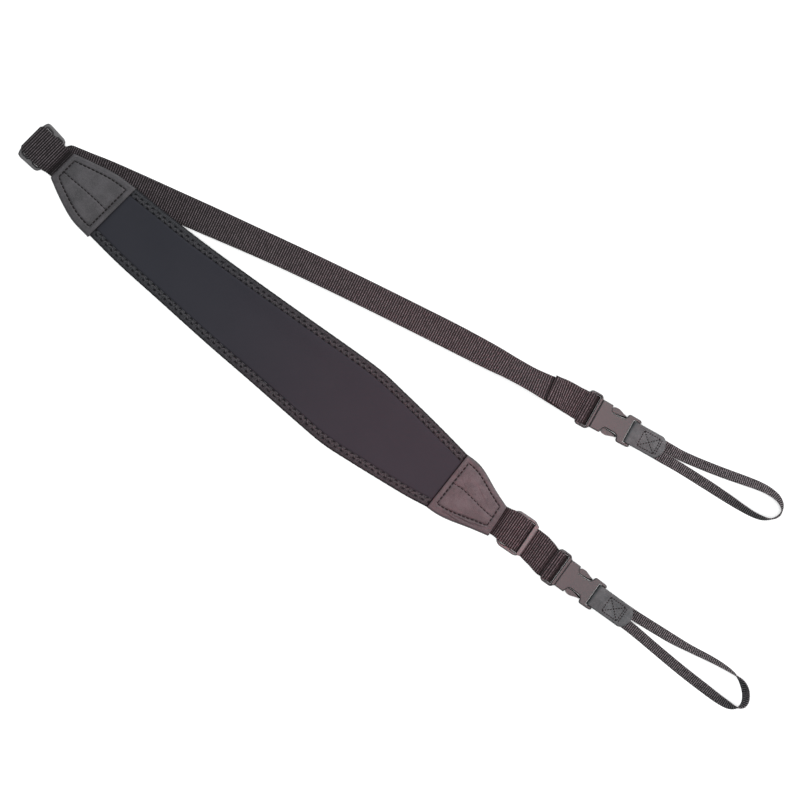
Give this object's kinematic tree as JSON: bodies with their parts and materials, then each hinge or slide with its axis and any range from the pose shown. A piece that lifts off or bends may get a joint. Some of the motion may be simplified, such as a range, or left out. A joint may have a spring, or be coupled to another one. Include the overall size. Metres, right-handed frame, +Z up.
{
  "type": "brass instrument sling",
  "caption": "Shoulder sling for a large brass instrument: padded strap with leather ends, sliders, side-release buckles and narrow webbing loops, lying flat and folded back at one slider.",
  "frame": {"origin": "Middle of the lying sling's outline, at the height of the table that it lies on.", "axes": "+X runs along the sling from the folded slider to the two loops, +Y runs across it from the pad towards the long strap, +Z points up from the table."},
  "size_m": [0.7296, 0.1702, 0.0166],
  "materials": {
    "neoprene": "matt black knitted face over closed-cell foam",
    "stretch_tape": "matt black stretch binding tape, cover-stitched",
    "leather": "black grained leather, satin",
    "webbing": "black ribbed 1 inch webbing",
    "loop_webbing": "black narrow webbing, fine weave",
    "moulded_plastic": "black moulded acetal, satin"
  },
  "bodies": {
    "root": {"shoulder_pad": "neoprene", "edge_binding_upper": "stretch_tape", "edge_binding_lower": "stretch_tape", "leather_end_fold": "leather", "leather_end_buckle": "leather", "upper_tab": "leather", "lower_tab": "leather", "long_strap": "webbing", "short_strap": "webbing", "upper_loop": "loop_webbing", "lower_loop": "loop_webbing", "fold_slider": "moulded_plastic", "short_slider": "moulded_plastic", "upper_male_buckle": "moulded_plastic", "lower_male_buckle": "moulded_plastic", "upper_female_buckle": "moulded_plastic", "lower_female_buckle": "moulded_plastic"}
  },
  "joints": []
}
